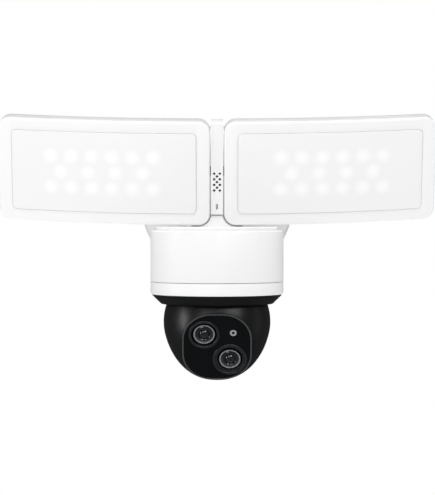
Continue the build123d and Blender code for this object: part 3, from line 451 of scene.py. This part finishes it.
def coated_glass():
    """Coated lens glass, polished: nearly black face on, with a painted grey-blue reflection where it curves
    away, and glints.
    """
    material, tree, shader = new_material("coated lens glass")
    add_grain(tree, shader, {"haze": (3.0, 3.0)}, roughness=("haze", 0.10, 0.14))
    # painted reflection: the depth mix below lightens the colour from nearly black to grey-blue as the glass
    # turns away from the view
    facing = node(tree, "LayerWeight", {"Blend": 0.35}).outputs["Facing"]
    depth = {"Factor": facing, "A": srgb("0E0F13"), "B": srgb("34383E")}
    fill(
        shader,
        {
            "Base Color": node(tree, "Mix", depth, data_type="RGBA").outputs["Result"],
            # far above glass's 1.52, to stand for the coating's stronger shine
            "IOR": 2.3,
            "Coat Weight": 1.0,
            "Coat Roughness": 0.02,
        },
    )
    return material


def zinc_plate():
    """Bright zinc plate on pressed steel: patchy grey-blue with a soft metallic gleam."""
    material, tree, shader = new_material("zinc plated steel")
    add_grain(
        tree,
        shader,
        {"spangle": (2.5, 3.0), "fine": (0.3, 2.0)},
        shades=("spangle", "A4A7AA", "BFC1C3"),
        roughness=("spangle", 0.26, 0.40),
        relief=("fine", 0.008, 0.5),
    )
    fill(shader, {"Metallic": 1.0})
    return material


def plain_finish(name, low, high, rough, grain, metallic=0.0, relief=0.01):
    """A finish with one grain: two colours, lowest and highest roughness, and grain and relief in mm."""
    material, tree, shader = new_material(name)
    add_grain(
        tree,
        shader,
        {"grain": (grain, 3.0)},
        shades=("grain", low, high),
        roughness=("grain", *rough),
        relief=("grain", relief, 0.5),
    )
    fill(shader, {"Metallic": metallic})
    return material


# ---------------------------------------------------------------- mesh helpers


def finish_nodes(material, finish, *names, rounded=True):
    """Give CAD nodes their material, smooth faces with their creases kept, and softly rounded edges."""
    for name in names:
        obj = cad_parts[name]
        obj.data.materials.clear()
        obj.data.materials.append(material)
        for polygon in obj.data.polygons:
            polygon.use_smooth = True
        weld = obj.modifiers.new("join faces", "WELD")
        weld.merge_threshold = WELD_DISTANCE
        if rounded and finish.edge_round > 0:
            bevel = obj.modifiers.new("soft edges", "BEVEL")
            bevel.width = finish.edge_round
            bevel.segments = 2
            bevel.limit_method = "ANGLE"
            bevel.angle_limit = ROUNDED
            bevel.harden_normals = False
            bevel.use_clamp_overlap = True
        split = obj.modifiers.new("keep creases", "EDGE_SPLIT")
        split.split_angle = CREASE


def new_piece(name, mesh, material, body, slot, *stands_for):
    """Make an object of a finished bmesh, join it to its body, and hide the nodes that it stands for."""
    data = bpy.data.meshes.new(name)
    bmesh.ops.recalc_face_normals(mesh, faces=mesh.faces)
    mesh.to_mesh(data)
    mesh.free()
    for polygon in data.polygons:
        polygon.use_smooth = True
    obj = bpy.data.objects.new(name, data)
    bpy.context.scene.collection.objects.link(obj)
    data.materials.append(material)
    split = obj.modifiers.new("keep creases", "EDGE_SPLIT")
    split.split_angle = CREASE
    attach(obj, body)
    if stands_for:
        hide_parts(*stands_for)


def turn(mesh, profile, centre, axis, steps=96):
    """Turn a profile of (radius, height) points in millimetres about an axis. A closed one gives a ring."""
    side = axis.orthogonal().normalized()
    verts = [mesh.verts.new(centre + (side * r + axis * h) * MM) for r, h in profile]
    edges = [mesh.edges.new(pair) for pair in zip(verts, verts[1:])]
    bmesh.ops.spin(
        mesh, geom=verts + edges, cent=centre, axis=axis, angle=2 * math.pi, steps=steps, use_merge=True
    )
    bmesh.ops.remove_doubles(mesh, verts=mesh.verts, dist=0.001 * MM)


def dome(radius, rise, base, rings=8):
    """Profile of a spherical cap from its rim to its middle, with its rim at height base."""
    ball = (radius**2 + rise**2) / (2 * rise)
    reach = [max(radius * (1 - n / rings), 0.0) for n in range(rings + 1)]
    return [(r, base + math.sqrt(ball**2 - r**2) - (ball - rise)) for r in reach]


def skin(mesh, rings):
    """Join each ring of vertices to the next by a band of faces."""
    for near, far in zip(rings, rings[1:]):
        for n in range(len(near)):
            after = (n + 1) % len(near)
            mesh.faces.new((near[n], near[after], far[after], far[n]))


def face_bead(mesh, half_x, half_u, corner, thickness, proud):
    """A round bead along a rounded rectangle on the camera's face, all in millimetres."""
    rings = []
    for quarter, (sx, su) in enumerate(((1, 1), (-1, 1), (-1, -1), (1, -1))):
        for step in range(BEAD_CORNER_STEPS + 1):
            heading = math.pi / 2 * (quarter + step / BEAD_CORNER_STEPS)
            out_x, out_u = math.cos(heading), math.sin(heading)
            ring = []
            for n in range(BEAD_SIDES):
                a = 2 * math.pi * n / BEAD_SIDES
                r = corner + thickness / 2 * math.cos(a)
                x = sx * (half_x - corner) + r * out_x
                u = su * (half_u - corner) + r * out_u
                ring.append(mesh.verts.new(on_face(x, u, proud + thickness / 2 * math.sin(a))))
            rings.append(ring)
    skin(mesh, rings + rings[:1])


def star_screws(mesh, places, axis, radius, height, lobes=6, steps=36):
    """Low domed screw heads with a six-lobed socket, at each place, axis pointing out of the head."""
    side = axis.orthogonal().normalized()
    other = axis.cross(side)
    angles = [2 * math.pi * n / steps for n in range(steps)]
    # the domed head's rings and then the socket's, as shares of the head's radius and height
    head = ((1.0, -0.2), (1.0, 0.35), (0.93, 0.72), (0.78, 0.92), (0.6, 1.0))
    star = [0.44 + 0.07 * math.cos(lobes * a) for a in angles]
    outline = [([r] * steps, h) for r, h in head] + [(star, 1.0), (star, 0.25)]
    for at in places:
        rings = []
        for reach, h in outline:
            ring = []
            for a, r in zip(angles, reach):
                outward = side * math.cos(a) + other * math.sin(a)
                ring.append(mesh.verts.new(at + (outward * radius * r + axis * height * h) * MM))
            rings.append(ring)
        skin(mesh, rings)
        mesh.faces.new(rings[-1])
        mesh.faces.new(list(reversed(rings[0])))


# ---------------------------------------------------------------- operators


class FLOODCAM_OT_housings(bpy.types.Operator):
    """Finish the wall base, arm, spine, drum and their hidden hardware"""

    bl_idname = "floodcam.housings"
    bl_label = "Housings"

    def execute(self, context):
        finish = context.scene.floodcam_finish
        white = moulded_asa(finish)
        coat = powder_coat(finish)
        zinc = zinc_plate()
        # creamy and a little waxy, as nylon moulded without pigment is
        nylon = plain_finish("natural moulded nylon", "DAD8CC", "E9E7DD", (0.42, 0.55), 1.2)
        # curtain-coated lacquer: deep green, glossy, with a slow unevenness
        board = plain_finish("green solder mask", "174A2B", "20603A", (0.3, 0.45), 3.0)
        # filled resin pressed hot: dull charcoal with a dusty speckle
        black = plain_finish("moulded black phenolic", "17181A", "232427", (0.45, 0.6), 0.8)
        # turned bar: warm yellow metal whose shine is broken by fine tool marks
        brass = plain_finish("machined brass", "A8873F", "C0A25A", (0.25, 0.4), 0.4, metallic=1.0)
        # skived sheet: flat black with open pits and no shine
        foam = plain_finish("closed-cell EPDM foam", "161616", "262626", (0.85, 0.95), 0.6, relief=0.15)
        # compression moulded: mid grey, soft and nearly matt
        rubber = plain_finish("grey silicone rubber", "4C4F52", "5C5F62", (0.6, 0.72), 0.8)
        # woven wire behind a grille: dark, with a broken glint. The weave is too fine to show
        gauze = plain_finish("dark woven steel mesh", "1E1F20", "3A3B3D", (0.4, 0.6), 0.5, metallic=0.6)
        # moulded in a lightly textured tool: even mid grey satin
        grey = plain_finish("moulded grey ABS", "85888C", "93969A", (0.42, 0.52), 0.6)

        finish_nodes(white, finish, "spine_housing", "grille_strip", "drum_housing", "drum_ring")
        finish_nodes(coat, finish, "base_housing", "arm_housing")
        finish_nodes(zinc, finish, "mounting_plate")
        steel = ("housing_screws", "pivot_tube", "friction_washers", "pan_motor", "processor_shield")
        finish_nodes(zinc, finish, *steel, rounded=False)
        slippery = ("terminal_block", "bearing_ring", "thrust_washer", "pan_pinion", "pan_gear")
        finish_nodes(nylon, finish, *slippery, rounded=False)
        finish_nodes(board, finish, "power_board", "main_board", rounded=False)
        finish_nodes(black, finish, "speaker", "transformer", "capacitors")
        finish_nodes(brass, finish, "ground_screw", "pivot_nuts", rounded=False)
        finish_nodes(foam, finish, "wall_gasket", rounded=False)
        finish_nodes(rubber, finish, "cable_grommet")
        finish_nodes(gauze, finish, "speaker_mesh", rounded=False)
        finish_nodes(grey, finish, "setup_button", rounded=False)

        mesh = bmesh.new()
        heads = [Vector((x, BASE_SCREW_Y, BASE_SCREW_Z)) * MM for x in (-BASE_SCREW_X, BASE_SCREW_X)]
        star_screws(mesh, heads, Vector((0.0, -1.0, 0.0)), *BASE_HEAD)
        new_piece("base_screw_heads", mesh, zinc, "base", "zinc_steel", "base_screws")
        return {"FINISHED"}


class FLOODCAM_OT_light_panels(bpy.types.Operator):
    """Finish both light panels and make their rear screws"""

    bl_idname = "floodcam.light_panels"
    bl_label = "Light panels"

    def execute(self, context):
        finish = context.scene.floodcam_finish
        lights = context.scene.floodcam_lights
        white = bpy.data.materials["moulded white ASA"]
        coat = bpy.data.materials["white powder coat"]
        zinc = bpy.data.materials["zinc plated steel"]
        rubber = bpy.data.materials["grey silicone rubber"]
        # screen-printed ink: clean white, glossy, to throw the light forward
        mask = plain_finish("white solder mask", "DADBDA", "E8E9E8", (0.3, 0.4), 2.0)
        # dosed resin domes: pale yellow while the light is off
        phosphor = plain_finish("LED phosphor", "E8D67A", "F2E6A0", (0.35, 0.45), 0.5)
        # bare sawn bar: bright grey with a soft streaky shine
        alloy = plain_finish("sawn aluminium", "B4B7BA", "C8CBCE", (0.3, 0.45), 0.8, metallic=1.0)
        for side, away in (("left", -1.0), ("right", 1.0)):
            finish_nodes(white, finish, f"{side}_bezel")
            finish_nodes(opal_polycarbonate(finish, lights, side), finish, f"{side}_diffuser")
            finish_nodes(coat, finish, f"{side}_rear_shell")
            finish_nodes(rubber, finish, f"{side}_panel_seal", rounded=False)
            finish_nodes(mask, finish, f"{side}_led_board", rounded=False)
            finish_nodes(phosphor, finish, f"{side}_leds", rounded=False)
            finish_nodes(alloy, finish, f"{side}_hinge_block", rounded=False)
            mesh = bmesh.new()
            heads = []
            for x in PANEL_SCREWS_X:
                back = PANEL_ARC - PANEL_FRONT - math.sqrt(PANEL_SCREW_ARC**2 - (x - PANEL_IN) ** 2)
                for v in PANEL_SCREWS_UP:
                    out = RIGHT * x * away + PANEL_UP * v - PANEL_NORMAL * (back - PANEL_SCREW_PROUD)
                    heads.append(PIVOT + out * MM)
            star_screws(mesh, heads, -PANEL_NORMAL, *PANEL_HEAD)
            name = f"{side}_panel_screw"
            new_piece(f"{name}_heads", mesh, zinc, f"{side}_panel", "zinc_steel", f"{name}s")
        return {"FINISHED"}


class FLOODCAM_OT_camera_ball(bpy.types.Operator):
    """Finish the collar, ball and tilt drive, and build both lens assemblies and the light sensor"""

    bl_idname = "floodcam.camera_ball"
    bl_label = "Camera ball"

    def execute(self, context):
        finish = context.scene.floodcam_finish
        gloss = polished_black()
        zinc = bpy.data.materials["zinc plated steel"]
        nylon = bpy.data.materials["natural moulded nylon"]
        board = bpy.data.materials["green solder mask"]
        brass = bpy.data.materials["machined brass"]
        alloy = bpy.data.materials["sawn aluminium"]
        # lightly textured tool: near black, with a soft even sheen that shows each ring's round edge
        satin = plain_finish("satin black ABS", "1C1E20", "26282A", (0.24, 0.32), 0.5)
        # clear anodised over a fine blast: a thin pale line round each glass, hardly metallic at this size
        silver = plain_finish("grey anodised aluminium", "808284", "9A9C9E", (0.25, 0.35), 0.3, metallic=0.15)
        # lightly textured tool: the bead is a ridge round the glossy face, painted a lighter charcoal than
        # the ball as a painted highlight along its edge
        charcoal = plain_finish("satin charcoal ABS, painted highlight", "3A3C3E", "484A4C", (0.3, 0.38), 0.5)
        # frosted resin: a pale cloudy grey with no sharp shine
        pipe = plain_finish("frosted light pipe", "8B8E91", "A0A3A6", (0.3, 0.4), 0.6)

        shells = ("turntable", "collar", "ball_rear_shell", "ball_front_shell")
        finish_nodes(moulded_black(finish), finish, *shells)
        finish_nodes(gloss, finish, "face_plate")
        finish_nodes(zinc, finish, "tilt_axle", "tilt_motor", rounded=False)
        finish_nodes(nylon, finish, "tilt_gear", rounded=False)
        finish_nodes(board, finish, "sensor_board", rounded=False)
        finish_nodes(brass, finish, "tilt_pinion", rounded=False)
        finish_nodes(alloy, finish, "yoke")

        flares, barrels, glasses, retainers = bmesh.new(), bmesh.new(), bmesh.new(), bmesh.new()
        half_circle = [(math.cos(math.pi * n / 10), math.sin(math.pi * n / 10)) for n in range(11)]
        for at, outer in LENSES:
            middle = on_face(*at)
            # the flared ring ends in a round ridge, a little proud of the face
            ridge = [(outer + FLARE_ROUND * (x - 1), FLARE_RISE + FLARE_ROUND * y) for x, y in half_circle]
            back = (FLARE_BORE, FLARE_BACK)
            flare = [back, (outer, FLARE_BACK), *ridge, (FLARE_BORE, FLARE_LIP), back]
            turn(flares, flare, middle, FACE_NORMAL)
            turn(barrels, [*BARREL_OUTSIDE, *BARREL_INSIDE], middle, FACE_NORMAL)
            # a shallow ring-shaped curve, then the small strongly curved middle
            turn(glasses, [*GLASS_BACK, *GLASS_CURVE, *dome(*GLASS_MIDDLE)], middle, FACE_NORMAL)
            turn(retainers, [*RETAINER_INSIDE, *RETAINER_OUTSIDE], middle, FACE_NORMAL)
        new_piece("lens_flares", flares, satin, "ball", "lens_ring", "lens_rings")
        new_piece("lens_barrel_steps", barrels, black_anodised(), "ball", "lens_barrel", "lens_barrels")
        new_piece("lens_front_glass", glasses, coated_glass(), "ball", "lens_glass", "lens_glasses")
        new_piece("lens_retaining_rings", retainers, silver, "ball", "lens_barrel")

        mesh = bmesh.new()
        face_bead(mesh, **BEAD)
        new_piece("face_plate_bead", mesh, charcoal, "ball", "black_plastic")

        mesh = bmesh.new()
        turn(mesh, SENSOR_RING, on_face(*SENSOR_AT), FACE_NORMAL, 48)
        new_piece("light_sensor_ring", mesh, pipe, "ball", "grey_plastic", "light_sensor")
        mesh = bmesh.new()
        window = [(0.0, -1.6), (SENSOR_RADIUS, -1.6), *dome(SENSOR_RADIUS, 0.3, -0.2)]
        turn(mesh, window, on_face(*SENSOR_AT), FACE_NORMAL, 32)
        new_piece("light_sensor_window", mesh, gloss, "ball", "black_gloss")
        return {"FINISHED"}


def softbox(name, at, aim, size, power):
    """A rectangular light at a place, aimed at another. Its size is its width and height in metres."""
    light = bpy.data.lights.new(name, "AREA")
    light.shape = "RECTANGLE"
    light.size, light.size_y = size
    light.energy = power
    lamp = bpy.data.objects.new(name, light)
    bpy.context.scene.collection.objects.link(lamp)
    lamp.location = at
    lamp.rotation_euler = (Vector(aim) - Vector(at)).to_track_quat("-Z", "Y").to_euler()


class FLOODCAM_OT_stage(bpy.types.Operator):
    """Build the studio: pale floor, softboxes, even room light and the camera"""

    bl_idname = "floodcam.stage"
    bl_label = "Stage"

    def execute(self, context):
        scene = context.scene
        stage = scene.floodcam_stage
        mesh = bmesh.new()
        corners = ((-1, -1), (1, -1), (1, 1), (-1, 1))
        mesh.faces.new([mesh.verts.new((x * FLOOR_HALF, y * FLOOR_HALF, FLOOR_Z)) for x, y in corners])
        data = bpy.data.meshes.new("floor")
        mesh.to_mesh(data)
        mesh.free()
        floor = bpy.data.objects.new("floor", data)
        scene.collection.objects.link(floor)
        # seamless background roll: flat white with a trace of fibre, lit so that it reads as white
        paper, tree, shader = new_material("white studio paper")
        add_grain(tree, shader, {"fibre": (1.5, 3.0)}, shades=("fibre", "F2F2F2", "F8F8F8"))
        fill(shader, {"Roughness": 0.9, "Emission Color": srgb("FFFFFF"), "Emission Strength": 0.84})
        data.materials.append(paper)
        floor.visible_glossy = False

        softbox("key softbox", (-0.55, -1.75, 0.45), (0, -0.12, -0.03), (0.7, 1.1), stage.key_power)
        softbox("fill softbox", (0.85, -1.5, 0.85), (0, -0.12, 0.0), (1.1, 0.8), stage.fill_power)
        softbox("top softbox", (0.0, -0.6, 1.2), (0, -0.12, 0.0), (1.6, 0.9), stage.top_power)
        softbox("left strip light", (-1.35, -0.45, 0.0), (0, -0.12, -0.1), (0.3, 0.8), stage.strip_power)
        right_power = stage.strip_power * RIGHT_STRIP_SHARE
        softbox("right strip light", (1.5, 0.15, 0.0), (0, -0.12, -0.1), (0.3, 1.2), right_power)

        world = bpy.data.worlds.new("white room")
        world.use_nodes = True
        scene.world = world
        tree = world.node_tree
        tree.nodes.clear()
        room, gleam, backdrop = (
            node(tree, "Background", {"Color": srgb("FFFFFF"), "Strength": strength}).outputs[0]
            for strength in (stage.room_light, stage.room_gleam, 1.0)
        )
        ray = node(tree, "LightPath").outputs
        mix = node(tree, "MixShader", {0: ray["Is Glossy Ray"], 1: room, 2: gleam}).outputs[0]
        mix = node(tree, "MixShader", {0: ray["Is Camera Ray"], 1: mix, 2: backdrop}).outputs[0]
        node(tree, "OutputWorld", {"Surface": mix})

        lens = bpy.data.cameras.new("camera")
        lens.sensor_width = 36.0
        lens.lens = stage.focal_length
        lens.clip_start = 0.05
        lens.clip_end = 60.0
        camera = bpy.data.objects.new("camera", lens)
        scene.collection.objects.link(camera)
        camera.location = (stage.camera_side, -stage.camera_distance, stage.camera_height)
        camera.rotation_euler = (math.radians(90) - stage.camera_dip, 0.0, 0.0)
        scene.camera = camera
        scene.view_settings.view_transform = "Standard"
        return {"FINISHED"}


class FLOODCAM_PT_panel(bpy.types.Panel):
    """Lists the settings and the steps"""

    bl_label = "Floodlight Camera"
    bl_idname = "FLOODCAM_PT_panel"
    bl_space_type = "VIEW_3D"
    bl_region_type = "UI"
    bl_category = "Floodlight Camera"

    def draw(self, context):
        layout = self.layout
        for holder, _ in GROUPS:
            group = getattr(context.scene, holder)
            box = layout.box()
            for name in group.bl_rna.properties.keys():
                if name not in ("rna_type", "name"):
                    box.prop(group, name)
        for step in STEPS:
            layout.operator(step.bl_idname)


GROUPS = (
    ("floodcam_finish", FinishSettings),
    ("floodcam_lights", LightSettings),
    ("floodcam_stage", StageSettings),
)
STEPS = (FLOODCAM_OT_housings, FLOODCAM_OT_light_panels, FLOODCAM_OT_camera_ball, FLOODCAM_OT_stage)
CLASSES = tuple(group for _, group in GROUPS) + STEPS + (FLOODCAM_PT_panel,)


def register():
    for cls in CLASSES:
        bpy.utils.register_class(cls)
    for name, group in GROUPS:
        setattr(bpy.types.Scene, name, bpy.props.PointerProperty(type=group))


def unregister():
    for name, _ in GROUPS:
        delattr(bpy.types.Scene, name)
    for cls in reversed(CLASSES):
        bpy.utils.unregister_class(cls)


def main():
    register()
    bpy.ops.floodcam.housings()
    bpy.ops.floodcam.light_panels()
    bpy.ops.floodcam.camera_ball()
    bpy.ops.floodcam.stage()


if __name__ == "__main__":
    main()
